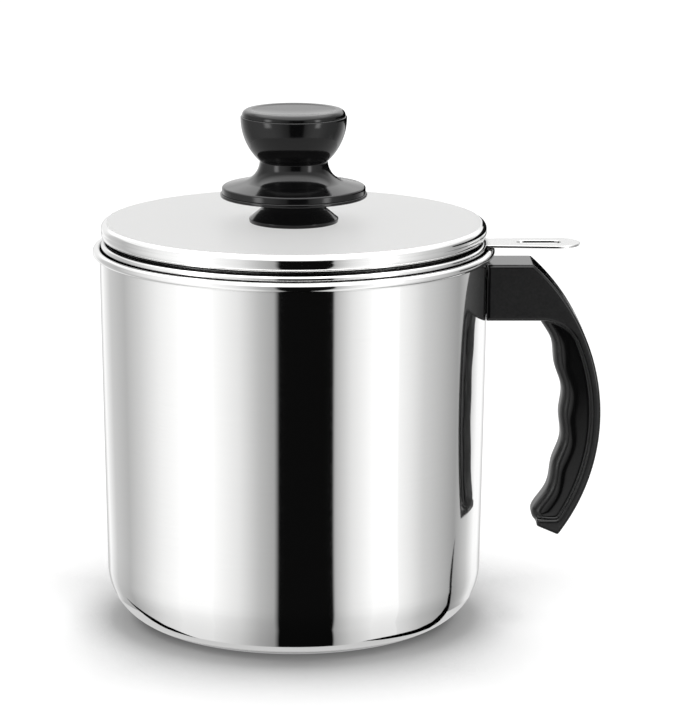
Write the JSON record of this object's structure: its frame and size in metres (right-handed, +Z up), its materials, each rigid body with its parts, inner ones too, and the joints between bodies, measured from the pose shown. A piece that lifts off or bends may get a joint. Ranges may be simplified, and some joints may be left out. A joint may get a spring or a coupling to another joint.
{
  "type": "bacon grease container",
  "caption": "Mirror-polished steel pot with a moulded side handle, a lift-out mesh strainer with a pull tab, and a low lid with a turned black knob.",
  "frame": {"origin": "middle of the pot's flat bottom, on the table", "axes": "+Z up along the pot's axis, +X towards the handle and the strainer's pull tab, -Y towards the viewer of the picture"},
  "size_m": [0.1611, 0.1272, 0.1645],
  "materials": {
    "polished_steel": "mirror-polished stainless steel sheet",
    "plain_steel": "stainless steel sheet, unpolished inner pieces",
    "woven_steel": "fine woven stainless wire",
    "fastener_steel": "bright steel screw and washers",
    "black_moulding": "black phenolic moulding with a soft gloss",
    "brass_insert": "turned brass thread, moulded in"
  },
  "bodies": {
    "pot": {"pot_body": "polished_steel", "handle_bracket": "plain_steel", "handle_grip": "black_moulding", "handle_screw": "fastener_steel", "handle_washer": "fastener_steel", "handle_spring_washer": "fastener_steel"},
    "strainer": {"strainer_frame": "polished_steel", "strainer_tab": "polished_steel", "strainer_mesh": "woven_steel", "strainer_clamp_ring": "plain_steel"},
    "lid": {"lid_shell": "polished_steel", "lid_locating_ring": "plain_steel", "knob_foot": "black_moulding", "knob_underplate": "black_moulding", "knob_body": "black_moulding", "knob_cap": "black_moulding", "knob_insert": "brass_insert", "knob_screw": "fastener_steel", "knob_washer": "fastener_steel", "knob_spring_washer": "fastener_steel"}
  },
  "joints": [
    {"name": "strainer_lift", "type": "slide", "parent": "pot", "child": "strainer", "axis": [0, 0, 1], "range_m": [0, 0.045]},
    {"name": "lid_lift", "type": "slide", "parent": "strainer", "child": "lid", "axis": [0, 0, 1], "range_m": [0, 0.06]}
  ]
}
